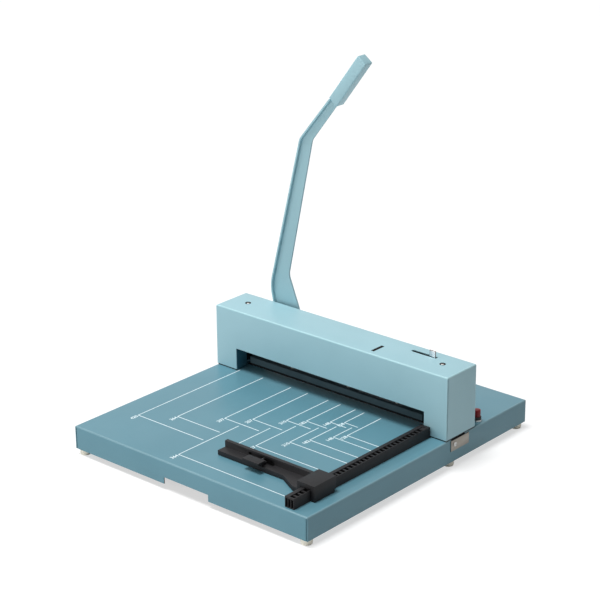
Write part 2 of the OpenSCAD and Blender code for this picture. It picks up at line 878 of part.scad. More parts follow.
// Blade with its bevel at the back
module blade() {
  z0 = table_z + blade_lift;
  color(bright_steel)
    difference() {
      translate([blade_x0, 0, 0])
        rotate([90, 0, 90])
          linear_extrude(blade_x1 - blade_x0)
            polygon([[cut_y, z0], [cut_y + 0.2, z0], [carrier_y, z0 + bevel_h],
              [carrier_y, z0 + blade_h], [cut_y, z0 + blade_h]]);
      for (x = blade_bolt_xs)
        rod_y(x, table_z + blade_bolt_h, bolt_r + run_fit, cut_y - 1, cut_y + blade_t + 1);
    }
}
module blade_bolts() {
  color(bright_steel)
    for (x = blade_bolt_xs) {
      rod_y(x, table_z + blade_bolt_h, bolt_r, cut_y + 0.3, carrier_y + sink_y + 1);
      rod_y(x, table_z + blade_bolt_h, bolt_head_r, carrier_y + sink_y, carrier_y + carrier_t - 0.5);
    }
}

// Clamp bar in front of the blade
module clamp_bar() {
  color(dark_steel)
    difference() {
      table_block([-clamp_w / 2, clamp_y0, clamp_lift],
        [clamp_w / 2, clamp_y1, clamp_lift + clamp_h]);
      for (x = rod_xs)
        translate([x, rod_y, table_z + clamp_lift + rod_floor])
          cylinder(h = clamp_h, r = rod_r - rod_step);
    }
}
module clamp_rods() {
  color(bright_steel)
    for (x = rod_xs) {
      translate([x, rod_y, table_z + clamp_lift + rod_floor])
        cylinder(h = clamp_h - rod_floor + eps, r = rod_r - rod_step);
      translate([x, rod_y, table_z + clamp_lift + clamp_h])
        cylinder(h = nut_z + nut_h + 2 - clamp_lift - clamp_h, r = rod_r);
    }
}
module clamp_nuts() {
  color(bright_steel)
    for (x = rod_xs)
      translate([x, rod_y, table_z + nut_z])
        difference() {
          cylinder(h = nut_h, r = nut_r, $fn = 6);
          translate([0, 0, -1])
            cylinder(h = nut_h + 2, r = rod_r);
        }
}

// Gauge: a block that straddles the rail, with a stop wall and a ledge to its left
module gauge_body() {
  color(black_plastic)
    difference() {
      union() {
        table_block([block_x0, block_y0, block_lift], [block_x1, block_y1, block_h]);
        table_block([arm_x0, block_y1 - wall_t, arm_lift], [block_x0 + eps, block_y1, wall_h]);
        translate([0, 0, table_z + arm_lift])
          linear_extrude(ledge_h - arm_lift)
            polygon([[arm_x0, block_y1 - wall_t + eps], [arm_x0, ledge_y], [gusset_x, ledge_y],
              [gusset_x + gusset_w, ledge_y - gusset_d], [block_x0 + eps, ledge_y - gusset_d],
              [block_x0 + eps, block_y1 - wall_t + eps]]);
      }
      table_block([rail_x - bay, block_y0 - 1, 0],
        [rail_x + rail_w + bay, block_y1 + 1, rail_h + bay]);
      table_block([block_x1 - 4, block_y1 - 6, 0], [block_x1 + 1, block_y1 + 1, 6]);
      table_block([pocket_x0, block_y1 - wall_t - pocket_front, pocket_z0],
        [pocket_x1, pocket_y1, pocket_z1]);
      for (y = gauge_screw_ys)
        translate([rail_mid, y, table_z + rail_h + 1])
          cylinder(h = 5, r = gauge_screw_r);
    }
}
// Slippery liner between the block and the rail
module gauge_slipper() {
  color("dimgray")
    difference() {
      table_block([rail_x - bay, block_y0 + 1, block_lift],
        [rail_x + rail_w + bay, block_y1 - 1, rail_h + bay]);
      table_block([rail_x - rail_play, block_y0, 0],
        [rail_x + rail_w + rail_play, block_y1, rail_h + rail_play]);
      for (y = gauge_screw_ys)
        translate([rail_mid, y, table_z + rail_h - 1])
          cylinder(h = 5, r = gauge_screw_r);
    }
}
module gauge_screws() {
  color(bright_steel)
    for (y = gauge_screw_ys)
      translate([rail_mid, y, table_z + rail_h + rail_play + 0.2])
        cylinder(h = 5, r = gauge_screw_r - run_fit);
}
// Finger latch over the ledge, squeezed back against the wall to free the gauge
module gauge_latch() {
  x0 = latch_x0 + latch_inset;
  x1 = latch_x1 - latch_inset;
  plate_z0 = latch_top - latch_t;
  color(black_plastic) {
    table_block([latch_x0, latch_front, plate_z0], [latch_x1, latch_back, latch_top]);
    table_block([latch_x0, latch_front, plate_z0 - latch_lip],
      [latch_x1, latch_front + latch_t, plate_z0 + eps]);
    table_block([x0, latch_back - latch_web, ledge_h + latch_play], [x1, latch_back, plate_z0 + eps]);
    table_block([x0, latch_back - eps, tail_z0], [x1, tail_y1, tail_z1]);
  }
}
module latch_spring() {
  color(bright_steel)
    translate([(latch_x0 + latch_x1) / 2, pocket_y1 - 0.2, table_z + (tail_z0 + tail_z1) / 2])
      rotate([90, 0, 0])
        coil(latch_coil_r, latch_wire_r, latch_turns, pocket_y1 - tail_y1 - 0.4);
}
// Lock slide: a bar under the housing's top with a bent-up tab through the slot
module lock_slide() {
  bar_z = beam_z1 + 0.4;
  color(bright_steel) {
    table_block([tab_x0, slot_y - slot_w, bar_z], [tab_x1, slot_y + slot_w, bar_z + tab_t]);
    table_block([tab_x0, slot_y - tab_t / 2, bar_z + tab_t - eps],
      [tab_x1, slot_y + tab_t / 2, housing_top + tab_h]);
  }
}

// Push button behind the housing
module button_base() {
  color(bright_steel)
    translate([button_x, button_y, table_z])
      difference() {
        cylinder(h = hex_h, r = hex_r, $fn = 6);
        translate([0, 0, button_floor])
          cylinder(h = hex_h, r = button_r + button_fit);
        translate([0, 0, -1])
          cylinder(h = 4, r = stem_r + run_fit);
      }
}
module button_collar() {
  color(black_plastic)
    translate([button_x, button_y, table_z + hex_h])
      difference() {
        cylinder(h = collar_h, r = collar_r);
        translate([0, 0, -1])
          cylinder(h = collar_h + 2, r = button_r + button_fit);
      }
}
module button_spring() {
  color(bright_steel)
    translate([button_x, button_y, table_z + button_floor + 0.2])
      coil(button_coil_r, button_wire_r, button_turns, cap_z0 - button_floor - 0.4);
}
module button_cap() {
  color(red_plastic)
    translate([button_x, button_y, table_z])
      rotate_extrude()
        polygon([[0, cap_z0], [button_r, cap_z0], [button_r, cap_z1 - 1.4],
          [button_r - 0.5, cap_z1 - 0.4], [button_r - 1.5, cap_z1], [0, cap_z1]]);
}
module button_stem() {
  color(bright_steel)
    translate([button_x, button_y, table_z + cap_z0 - stem_len])
      cylinder(h = stem_len, r = stem_r);
}
// Plate that closes the end of the stick's groove
module stick_cover_plate() {
  color(bright_steel)
    difference() {
      table_block([half_w, plate_y0, plate_z0], [half_w + plate_thick, plate_y1, plate_z1]);
      rod_x(plate_screw_y, table_z + plate_screw_z, plate_screw_r + run_fit, half_w - 1, half_w + 3);
    }
}
module cover_plate_screw() {
  color(bright_steel)
    translate([half_w + plate_thick + plate_play, plate_screw_y, table_z + plate_screw_z])
      rotate([0, 90, 0])
        pan_screw(plate_screw_r, plate_thick + plate_play, plate_head_r, plate_head_h);
}

base_pan();
table_braces();
stick_tray();
cutting_stick();
feet();
foot_screws();
end_frame_left();
end_frame_right();
frame_bolts();
guide_beam();
beam_bolts();
blade_guides();
clamp_guide();
clamp_guide_bolts();
pivot_bush();
return_spring();
clamp_springs();
housing_cover();
cover_seals();
cover_screws();
cover_washers();
side_rail();
rail_screws();
button_base();
button_collar();
button_spring();
cover_plate_screw();
lever_arm();
lever_grip();
grip_screws();
lever_hub();
pivot_shaft();
shaft_nut();
eccentric();
blade_carrier();
blade();
blade_bolts();
clamp_bar();
clamp_rods();
clamp_nuts();
gauge_body();
gauge_slipper();
gauge_screws();
gauge_latch();
latch_spring();
lock_slide();
button_cap();
button_stem();
stick_cover_plate();
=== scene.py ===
import bpy
import json
import math
from mathutils import Matrix, Vector


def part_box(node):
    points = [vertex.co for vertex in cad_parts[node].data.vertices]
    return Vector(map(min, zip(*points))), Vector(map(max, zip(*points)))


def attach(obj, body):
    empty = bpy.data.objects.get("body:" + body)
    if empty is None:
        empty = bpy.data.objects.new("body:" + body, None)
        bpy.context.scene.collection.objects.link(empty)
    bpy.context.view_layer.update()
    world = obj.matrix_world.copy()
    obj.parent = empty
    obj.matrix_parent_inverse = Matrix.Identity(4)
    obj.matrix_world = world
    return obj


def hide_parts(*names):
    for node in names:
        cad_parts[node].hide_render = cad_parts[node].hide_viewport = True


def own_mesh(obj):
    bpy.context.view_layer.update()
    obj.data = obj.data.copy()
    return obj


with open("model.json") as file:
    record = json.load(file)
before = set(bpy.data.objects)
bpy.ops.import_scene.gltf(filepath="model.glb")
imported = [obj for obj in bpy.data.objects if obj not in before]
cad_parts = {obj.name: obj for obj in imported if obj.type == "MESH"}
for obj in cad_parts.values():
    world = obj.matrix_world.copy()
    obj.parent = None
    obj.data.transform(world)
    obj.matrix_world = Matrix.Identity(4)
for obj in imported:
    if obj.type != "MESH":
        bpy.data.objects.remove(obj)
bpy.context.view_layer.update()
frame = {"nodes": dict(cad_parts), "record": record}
nodes = frame["nodes"]
mm = 0.001
spare = 5 * mm  # how far a cutter runs past what it cuts
square = 0.9  # part of a normal along an axis that counts as facing it
panLo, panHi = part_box("base_pan")
tableTop = panHi.z
print("frame loaded, table top at", round(tableTop, 4))


# picking and applying

def clearPicks():
    if bpy.context.mode != "OBJECT":
        bpy.ops.object.mode_set(mode="OBJECT")
    bpy.ops.object.select_all(action="DESELECT")


def pick(piece):
    clearPicks()
    piece.select_set(True)
    bpy.context.view_layer.objects.active = piece


def settle(piece):
    pick(piece)
    bpy.ops.object.transform_apply(location=True, rotation=True, scale=True)


def boxBetween(name, lo, hi):
    lo, hi = Vector(lo), Vector(hi)
    clearPicks()
    bpy.ops.mesh.primitive_cube_add(size=1, location=(lo + hi) / 2)
    piece = bpy.context.object
    piece.name = name
    piece.scale = hi - lo
    settle(piece)
    return piece


def roundBar(name, centre, radius, depth, axis="Z", sides=48):
    turns = {"Y": (math.pi / 2, 0, 0), "Z": (0, 0, 0)}
    clearPicks()
    bpy.ops.mesh.primitive_cylinder_add(vertices=sides, radius=radius, depth=depth,
                                        location=centre, rotation=turns[axis])
    piece = bpy.context.object
    piece.name = name
    settle(piece)
    return piece


def useModifier(piece, kind, **values):
    pick(piece)
    step = piece.modifiers.new(kind.lower(), kind)
    for key, value in values.items():
        setattr(step, key, value)
    bpy.ops.object.modifier_apply(modifier=step.name)


def carve(piece, cutter, operation="DIFFERENCE"):
    useModifier(piece, "BOOLEAN", operation=operation, object=cutter, solver="EXACT")
    bpy.data.objects.remove(cutter)


def roundEdges(piece, width, segments=3, angle=35):
    useModifier(piece, "BEVEL", width=width, segments=segments, limit_method="ANGLE",
                angle_limit=math.radians(angle), harden_normals=False, use_clamp_overlap=True)
    smoothFaces(piece)


def smoothFaces(piece, angle=40):
    pick(piece)
    bpy.ops.object.shade_smooth_by_angle(angle=math.radians(angle))


def joinAll(name, pieces):
    clearPicks()
    for piece in pieces:
        piece.select_set(True)
    bpy.context.view_layer.objects.active = pieces[0]
    if len(pieces) > 1:
        bpy.ops.object.join()
    joined = bpy.context.object
    joined.name = name
    return joined


def pickFaces(piece, wanted):
    pick(piece)
    bpy.ops.object.mode_set(mode="EDIT")
    bpy.ops.mesh.select_mode(type="FACE")
    bpy.ops.mesh.select_all(action="DESELECT")
    bpy.ops.object.mode_set(mode="OBJECT")
    for face in piece.data.polygons:
        face.select = wanted(face)
    bpy.ops.object.mode_set(mode="EDIT")


def pickEdges(piece, wanted):
    pick(piece)
    bpy.ops.object.mode_set(mode="EDIT")
    bpy.ops.mesh.select_mode(type="EDGE")
    bpy.ops.mesh.select_all(action="DESELECT")
    bpy.ops.object.mode_set(mode="OBJECT")
    points = piece.data.vertices
    for edge in piece.data.edges:
        a, b = (points[i].co for i in edge.vertices)
        edge.select = wanted(a, b)
    bpy.ops.object.mode_set(mode="EDIT")


def bevelEdges(piece, wanted, width, segments=4):
    pickEdges(piece, wanted)
    bpy.ops.mesh.bevel(offset=width, segments=segments, profile=0.5)
    bpy.ops.object.mode_set(mode="OBJECT")


# moves the wanted faces to the right
def slideFaces(piece, wanted, distance):
    pickFaces(piece, wanted)
    bpy.ops.transform.translate(value=(distance, 0, 0))
    bpy.ops.object.mode_set(mode="OBJECT")


# a box of sheet, open below, with rounded folds round its top
def foldedBox(name, lo, hi, look):
    piece = boxBetween(name, lo, hi)
    pickFaces(piece, lambda face: face.normal.z < -square)
    bpy.ops.mesh.inset(thickness=look["sheet"], depth=0, use_even_offset=True)
    rise = hi.z - lo.z - look["sheet"]
    bpy.ops.mesh.extrude_region_move(TRANSFORM_OT_translate={"value": (0, 0, rise)})
    top = hi.z - look["sheet"] / 2
    bevelEdges(piece, lambda a, b: a.z > top and b.z > top, look["fold"])
    return piece


# the faces of a rounded fold slope upwards
def onFold(face, least=0.1, most=0.99):
    return least < face.normal.z < most


# a merged copy of a CAD node, for edges that the solid leaves sharp
def cadCopy(node, name, mergeGap=0.005 * mm, flatAngle=0.3):
    piece = bpy.data.objects.new(name, nodes[node].data.copy())
    bpy.context.scene.collection.objects.link(piece)
    pick(piece)
    bpy.ops.object.mode_set(mode="EDIT")
    bpy.ops.mesh.select_all(action="SELECT")
    bpy.ops.mesh.remove_doubles(threshold=mergeGap)
    bpy.ops.mesh.dissolve_limited(angle_limit=math.radians(flatAngle))
    bpy.ops.object.mode_set(mode="OBJECT")
    return piece


# boxes round the separate solids of a CAD node
def looseBoxes(node):
    pick(cadCopy(node, "loose"))
    bpy.ops.object.mode_set(mode="EDIT")
    bpy.ops.mesh.select_all(action="SELECT")
    bpy.ops.mesh.separate(type="LOOSE")
    bpy.ops.object.mode_set(mode="OBJECT")
    boxes = []
    for solid in list(bpy.context.selected_objects):
        corners = [point.co for point in solid.data.vertices]
        boxes.append([Vector([end(corner[i] for corner in corners) for i in range(3)]) for end in (min, max)])
        bpy.data.objects.remove(solid)
    return boxes


def hand(piece, finish, body, slot, *replaced):
    piece.data.materials.clear()
    piece.data.materials.append(finish)
    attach(piece, body)
    if replaced:
        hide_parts(*replaced)


# finishes

# sRGB levels as linear light
def linear(red, green, blue):
    def one(value):
        value = value / 255
        return value / 12.92 if value <= 0.04045 else ((value + 0.055) / 1.055) ** 2.4
    return (one(red), one(green), one(blue), 1)


def finish(name, look):
    material = bpy.data.materials.new(name)
    material.use_nodes = True
    tree = material.node_tree
    shader = tree.nodes["Principled BSDF"]
    coords = tree.nodes.new("ShaderNodeTexCoord")
    place = tree.nodes.new("ShaderNodeMapping")
    place.inputs["Scale"].default_value = look.get("stretch", (1, 1, 1))
    tree.links.new(coords.outputs["Object"], place.inputs["Vector"])

    def noise(scale, detail=4):
        texture = tree.nodes.new("ShaderNodeTexNoise")
        texture.inputs["Scale"].default_value = scale
        texture.inputs["Detail"].default_value = detail
        tree.links.new(place.outputs["Vector"], texture.inputs["Vector"])
        return texture.outputs["Fac"]

    # soft patches of two close tones
    ramp = tree.nodes.new("ShaderNodeValToRGB")
    ramp.color_ramp.elements[0].position = 0.3
    ramp.color_ramp.elements[0].color = linear(*look["dark"])
    ramp.color_ramp.elements[1].position = 0.7
    ramp.color_ramp.elements[1].color = linear(*look["light"])
    tree.links.new(noise(look["patch"], 6), ramp.inputs["Fac"])
    tree.links.new(ramp.outputs["Color"], shader.inputs["Base Color"])
    # gloss that changes a little over the surface
    gloss = tree.nodes.new("ShaderNodeMapRange")
    gloss.inputs["To Min"].default_value = look["rough"][0]
    gloss.inputs["To Max"].default_value = look["rough"][1]
    tree.links.new(noise(look["smear"]), gloss.inputs["Value"])
    tree.links.new(gloss.outputs["Result"], shader.inputs["Roughness"])
    # fine relief
    bump = tree.nodes.new("ShaderNodeBump")
    bump.inputs["Strength"].default_value = look["relief"]
    bump.inputs["Distance"].default_value = look["depth"] * mm
    tree.links.new(noise(look["grain"], 3), bump.inputs["Height"])
    tree.links.new(bump.outputs["Normal"], shader.inputs["Normal"])
    shader.inputs["Metallic"].default_value = look.get("metal", 0)
    shader.inputs["Specular IOR Level"].default_value = look.get("shine", 0.5)
    return material


housingPaint = finish("housingPaint", {
    "dark": (158, 198, 208), "light": (163, 203, 213), "patch": 9, "smear": 30, "rough": (0.36, 0.46),
    "grain": 900, "relief": 0.12, "depth": 0.08, "shine": 0.4})
tablePaint = finish("tablePaint", {
    "dark": (90, 137, 152), "light": (96, 143, 158), "patch": 7, "smear": 24, "rough": (0.30, 0.42),
    "grain": 800, "relief": 0.12, "depth": 0.08, "shine": 0.4})
# paler copies of the housing and table paints for the rounded folds: painted highlights along the edges
housingFoldHighlight = finish("housingFoldHighlight", {
    "dark": (176, 216, 224), "light": (181, 221, 229), "patch": 12, "smear": 40, "rough": (0.30, 0.38),
    "grain": 900, "relief": 0.08, "depth": 0.06, "shine": 0.45})
tableFoldHighlight = finish("tableFoldHighlight", {
    "dark": (112, 152, 164), "light": (118, 158, 170), "patch": 12, "smear": 40, "rough": (0.26, 0.36),
    "grain": 800, "relief": 0.08, "depth": 0.06, "shine": 0.45})
blackMoulding = finish("blackMoulding", {
    "dark": (26, 26, 28), "light": (34, 33, 35), "patch": 30, "smear": 60, "rough": (0.50, 0.64),
    "grain": 1600, "relief": 0.35, "depth": 0.12, "shine": 0.25})
# near-black for the strip under the clamp: painted shade
shadeStripBlack = finish("shadeStripBlack", {
    "dark": (7, 8, 9), "light": (12, 13, 14), "patch": 40, "smear": 70, "rough": (0.72, 0.85),
    "grain": 1400, "relief": 0.3, "depth": 0.1, "shine": 0.08})
darkPaint = finish("darkPaint", {
    "dark": (38, 56, 62), "light": (46, 64, 70), "patch": 25, "smear": 40, "rough": (0.42, 0.56),
    "grain": 1000, "relief": 0.2, "depth": 0.1, "shine": 0.35})
# painted light: lighter and bluer than the dark frame paint, to lift the cheeks that sit in the opening's
# shade
litCheekPaint = finish("litCheekPaint", {
    "dark": (52, 104, 124), "light": (60, 112, 132), "patch": 25, "smear": 40, "rough": (0.42, 0.56),
    "grain": 1000, "relief": 0.2, "depth": 0.1, "shine": 0.35})
# near-black paint for the pan's inside and its seam walls: painted shade
insideShadePaint = finish("insideShadePaint", {
    "dark": (20, 26, 29), "light": (28, 34, 37), "patch": 20, "smear": 40, "rough": (0.60, 0.75),
    "grain": 900, "relief": 0.2, "depth": 0.1, "shine": 0.15})
brightSteel = finish("brightSteel", {
    "dark": (168, 168, 166), "light": (198, 198, 196), "patch": 60, "smear": 90, "rough": (0.22, 0.36),
    "grain": 700, "relief": 0.15, "depth": 0.05, "metal": 1})
brushedPlate = finish("brushedPlate", {
    "dark": (116, 112, 105), "light": (146, 142, 134), "patch": 40, "smear": 70, "rough": (0.30, 0.46),
    "grain": 500, "relief": 0.25, "depth": 0.05, "metal": 1, "stretch": (1, 0.08, 1)})
groundSteel = finish("groundSteel", {
    "dark": (170, 172, 176), "light": (205, 207, 210), "patch": 50, "smear": 80, "rough": (0.18, 0.3),
    "grain": 600, "relief": 0.2, "depth": 0.04, "metal": 1, "stretch": (0.06, 1, 1)})
springWire = finish("springWire", {
    "dark": (110, 112, 116), "light": (140, 142, 146), "patch": 80, "smear": 90, "rough": (0.28, 0.4),
    "grain": 900, "relief": 0.15, "depth": 0.04, "metal": 1})
chromePlate = finish("chromePlate", {
    "dark": (205, 205, 208), "light": (225, 225, 228), "patch": 40, "smear": 60, "rough": (0.06, 0.14),
    "grain": 400, "relief": 0.05, "depth": 0.03, "metal": 1})
creamRubber = finish("creamRubber", {
    "dark": (232, 228, 212), "light": (244, 240, 226), "patch": 60, "smear": 80, "rough": (0.6, 0.8),
    "grain": 900, "relief": 0.4, "depth": 0.15})
redPlastic = finish("redPlastic", {
    "dark": (100, 4, 14), "light": (118, 7, 18), "patch": 50, "smear": 80, "rough": (0.28, 0.38),
    "grain": 600, "relief": 0.08, "depth": 0.05, "shine": 0.25})
bronzeBush = finish("bronzeBush", {
    "dark": (150, 112, 58), "light": (176, 136, 76), "patch": 60, "smear": 80, "rough": (0.25, 0.4),
    "grain": 500, "relief": 0.15, "depth": 0.05, "metal": 1})
whitePrint = finish("whitePrint", {
    "dark": (222, 240, 245), "light": (234, 248, 252), "patch": 120, "smear": 200, "rough": (0.4, 0.55),
    "grain": 1500, "relief": 0.1, "depth": 0.03})
blackPrint = finish("blackPrint", {
    "dark": (8, 9, 11), "light": (13, 14, 16), "patch": 120, "smear": 200, "rough": (0.5, 0.65),
    "grain": 1500, "relief": 0.1, "depth": 0.03, "shine": 0.1})
cutEdge = finish("cutEdge", {
    "dark": (70, 58, 50), "light": (92, 78, 68), "patch": 60, "smear": 90, "rough": (0.4, 0.55),
    "grain": 700, "relief": 0.2, "depth": 0.05, "metal": 1})
slotFinish = {"housing_paint": housingPaint, "table_paint": tablePaint, "black_plastic": blackMoulding,
              "dark_steel": darkPaint, "bright_steel": brightSteel, "spring_steel": springWire,
              "blade_steel": groundSteel, "chrome": chromePlate, "cream_rubber": creamRubber,
              "red_plastic": redPlastic, "bronze": bronzeBush}
for part in frame["record"]["subparts"]:
    cadMesh = nodes[part["node"]].data
    cadMesh.materials.clear()
    cadMesh.materials.append(slotFinish[part["material_slot"]])
print("finishes made")


# table: folded sheet with rounded top folds, corner seams, a hand notch and the cutting stick's groove
tableSettings = {"sheet": 1.6 * mm, "fold": 2.2 * mm, "seam": 1.6 * mm, "seamDepth": 1.2 * mm,
                 "flange": 40 * mm, "notchWidth": 100 * mm, "notchHeight": 12 * mm,
                 "grooveEnd": 2 * mm, "grooveSide": 0.3 * mm, "grooveUnder": mm,
                 "endCut": (76 * mm, 114 * mm, 6 * mm), "paintDepth": 0.5 * mm, "rim": 0.2 * mm}


def makeTable(look):
    pan = foldedBox("tablePan", panLo, panHi, look)
    inside = look["sheet"] / 2
    for side in (-1, 1):
        reach = sorted((side * (panHi.x - inside), side * (panHi.x - look["flange"])))
        carve(pan, boxBetween("flange", (reach[0], panLo.y + inside, panLo.z),
                              (reach[1], panHi.y - inside, panLo.z + look["sheet"])), "UNION")
    half = look["notchWidth"] / 2
    carve(pan, boxBetween("notchCut", (-half, panLo.y - spare, panLo.z - spare),
                          (half, panLo.y + spare, panLo.z + look["notchHeight"])))
    half, reach = look["seam"] / 2, look["seamDepth"]
    for sideX in (-1, 1):
        for sideY in (-1, 1):
            seamX = sideX * (panHi.x - look["sheet"] - half)
            seamY = sideY * panHi.y
            carve(pan, boxBetween("seamCut", (seamX - half, seamY - reach, panLo.z - spare),
                                  (seamX + half, seamY + reach, tableTop - look["fold"])))
    stickLo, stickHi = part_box("cutting_stick")
    end, side, under = look["grooveEnd"], look["grooveSide"], look["grooveUnder"]
    carve(pan, boxBetween("grooveCut", (stickLo.x - end, stickLo.y - side, stickLo.z - under),
                          (panHi.x + spare, stickHi.y + side, tableTop + spare)))
    cutY0, cutY1, cutDepth = look["endCut"]
    carve(pan, boxBetween("endCut", (panHi.x - look["seamDepth"], cutY0, tableTop - cutDepth),
                          (panHi.x + spare, cutY1, tableTop + spare)))
    smoothFaces(pan)
    hand(pan, tablePaint, "base", "table_paint", "base_pan")
    # near-black paint inside the pan and deep in the seams as painted shade, and paler paint on the folds as
    # a painted highlight
    pan.data.materials.append(insideShadePaint)
    pan.data.materials.append(tableFoldHighlight)
    for face in pan.data.polygons:
        spot = face.center
        depth = min(spot.x - panLo.x, panHi.x - spot.x, spot.y - panLo.y, panHi.y - spot.y, tableTop - spot.z)
        if depth > look["paintDepth"] and spot.z > panLo.z + look["rim"]:
            face.material_index = 1
        elif onFold(face):
            face.material_index = 2


makeTable(tableSettings)
print("table made")


# housing: folded cover with the paper opening, the lock slot and corner seams
housingSettings = {"sheet": 1.6 * mm, "fold": 2.2 * mm, "seam": 1.3 * mm, "seamReach": 3 * mm,
                   "openingHalf": 214.5 * mm, "openingTop": 43 * mm, "backTop": 16 * mm,
                   "slot": (143 * mm, 197 * mm), "slotY": 119 * mm, "slotHalf": 3.75 * mm,
                   "cupRadius": 4.85 * mm, "shaftRadius": 10 * mm,
                   "barX": (90 * mm, 96.5 * mm), "barY": (72.5 * mm, 102 * mm),
                   "barThick": 0.06 * mm, "barEdge": 0.02 * mm}
coverLo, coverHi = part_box("housing_cover")


def makeHousing(look):
    cover = foldedBox("housingShell", coverLo, coverHi, look)
    half = look["openingHalf"]
    for y, top in ((coverLo.y, look["openingTop"]), (coverHi.y, look["backTop"])):
        carve(cover, boxBetween("openingCut", (-half, y - spare, coverLo.z - spare),
                                (half, y + spare, tableTop + top)))
    through = 2 * spare
    for lo, hi in looseBoxes("cover_washers"):
        middle = (lo + hi) / 2
        carve(cover, roundBar("cupCut", (middle.x, middle.y, coverHi.z), look["cupRadius"], through))
    slotEnds = look["slot"][0] + look["slotHalf"], look["slot"][1] - look["slotHalf"]
    carve(cover, boxBetween("slotCut", (slotEnds[0], look["slotY"] - look["slotHalf"], coverHi.z - spare),
                            (slotEnds[1], look["slotY"] + look["slotHalf"], coverHi.z + spare)))
    for x in slotEnds:
        carve(cover, roundBar("slotEnd", (x, look["slotY"], coverHi.z), look["slotHalf"], through))
    shaftLo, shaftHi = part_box("pivot_shaft")
    shaftMid = (shaftLo + shaftHi) / 2
    carve(cover, roundBar("shaftCut", (shaftMid.x, coverHi.y, shaftMid.z), look["shaftRadius"], through, "Y"))
    reach = look["seamReach"]
    seamY = coverLo.y + look["sheet"]
    for side in (-1, 1):
        carve(cover, boxBetween("seamCut", (side * coverHi.x - reach, seamY, coverLo.z - spare),
                                (side * coverHi.x + reach, seamY + look["seam"], coverHi.z - look["fold"])))
    smoothFaces(cover)
    hand(cover, housingPaint, "base", "housing_paint", "housing_cover")
    # painted highlight: the rounded folds get the paler paint
    cover.data.materials.append(housingFoldHighlight)
    for face in cover.data.polygons:
        face.material_index = 1 if onFold(face) else 0
    # a plain printed bar
    (x0, x1), (y0, y1) = look["barX"], look["barY"]
    bar = boxBetween("printedBar", (x0, y0, coverHi.z), (x1, y1, coverHi.z + look["barThick"]))
    roundEdges(bar, look["barEdge"], 1)
    hand(bar, blackPrint, "base", "housing_paint")


makeHousing(housingSettings)
print("housing made")


# parts whose solids are right but want broken edges, given in millimetres
softSettings = [
    {"node": "lever_arm", "name": "leverBlank", "body": "lever", "finish": housingPaint, "edge": 0.6},
    {"node": "lever_hub", "name": "leverBoss", "body": "lever", "finish": housingPaint, "edge": 1.2},
    {"node": "pivot_shaft", "name": "leverShaft", "body": "lever", "finish": brightSteel, "edge": 0.8},
    {"node": "shaft_nut", "name": "leverNut", "body": "lever", "finish": brightSteel, "edge": 0.6},
    {"node": "gauge_body", "name": "gaugeMoulding", "body": "gauge", "finish": blackMoulding, "edge": 1.1},
    {"node": "gauge_latch", "name": "fingerLatch", "body": "latch", "finish": blackMoulding, "edge": 0.8},
    {"node": "side_rail", "name": "ladderRail", "body": "base", "finish": blackMoulding, "edge": 0.25},
    {"node": "clamp_bar", "name": "clampJaw", "body": "clamp_unit", "finish": darkPaint, "edge": 0.8},
    {"node": "end_frame_left", "name": "leftCheek", "body": "base", "finish": litCheekPaint, "edge": 0.7},
    {"node": "end_frame_right", "name": "rightCheek", "body": "base", "finish": litCheekPaint, "edge": 0.7},
    {"node": "lock_slide", "name": "lockTab", "body": "lock", "finish": chromePlate, "edge": 0.6},
    {"node": "stick_cover_plate", "name": "grooveCover", "body": "cover_plate", "finish": brushedPlate,
     "edge": 0.4},
    {"node": "cover_washers", "name": "coverCups", "body": "base", "finish": blackMoulding, "edge": 0.15},
    {"node": "cover_seals", "name": "coverStrips", "body": "base", "finish": blackMoulding, "edge": 0.3},
    {"node": "feet", "name": "rubberFeet", "body": "base", "finish": creamRubber, "edge": 0.5},
    {"node": "button_cap", "name": "redCap", "body": "button", "finish": redPlastic, "edge": 0.7},
    {"node": "button_collar", "name": "blackCollar", "body": "base", "finish": blackMoulding, "edge": 0.8},
    {"node": "button_base", "name": "hexBase", "body": "base", "finish": brightSteel, "edge": 0.6},
]
slotOf = {part["node"]: part["material_slot"] for part in frame["record"]["subparts"]}
for look in softSettings:
    softPiece = cadCopy(look["node"], look["name"])
    roundEdges(softPiece, look["edge"] * mm)
    hand(softPiece, look["finish"], look["body"], slotOf[look["node"]], look["node"])
# the lock tab's cut edges are dull
tabSettings = {"broad": 0.8}
lockTab = bpy.data.objects["lockTab"]
lockTab.data.materials.append(cutEdge)
for face in lockTab.data.polygons:
    face.material_index = 0 if abs(face.normal.y) > tabSettings["broad"] else 1
# the groove cover swings up past the housing, so its back stands off a little
grooveCoverSettings = {"standOff": 0.1 * mm}
grooveCover = bpy.data.objects["grooveCover"]
slideFaces(grooveCover, lambda face: face.normal.x < -square, grooveCoverSettings["standOff"])
print("edges broken on", len(softSettings), "parts")


# springs: smoothed copies of the CAD coils on their bodies; each row also gives the joint, the axis, the seat
# low or high on the axis and the stroke in millimetres, which do not shorten the coils
springSettings = [
    {"node": "clamp_springs", "name": "liftSprings", "body": "base", "joint": "clamp_slide", "axis": 2,
     "seat": "low", "stroke": 10.6},
    {"node": "button_spring", "name": "buttonCoil", "body": "base", "joint": "button_press", "axis": 2,
     "seat": "low", "stroke": 4},
    {"node": "latch_spring", "name": "latchCoil", "body": "gauge", "joint": "latch_press", "axis": 1,
     "seat": "high", "stroke": 5},
]


def makeSpring(look):
    axis = look["axis"]
    coil = cadCopy(look["node"], look["name"])
    smoothFaces(coil, angle=60)
    hand(coil, springWire, look["body"], "spring_steel", look["node"])
    along = Vector((0, 0, 0))
    along[axis] = 1
    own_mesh(coil)


for look in springSettings:
    makeSpring(look)
print("springs set")


# painted shade: a near-black strip along the lower edge of the clamp stands in for the dark gap under the bar
shadeStripSettings = {"height": 3.4 * mm, "edge": 0.6 * mm}


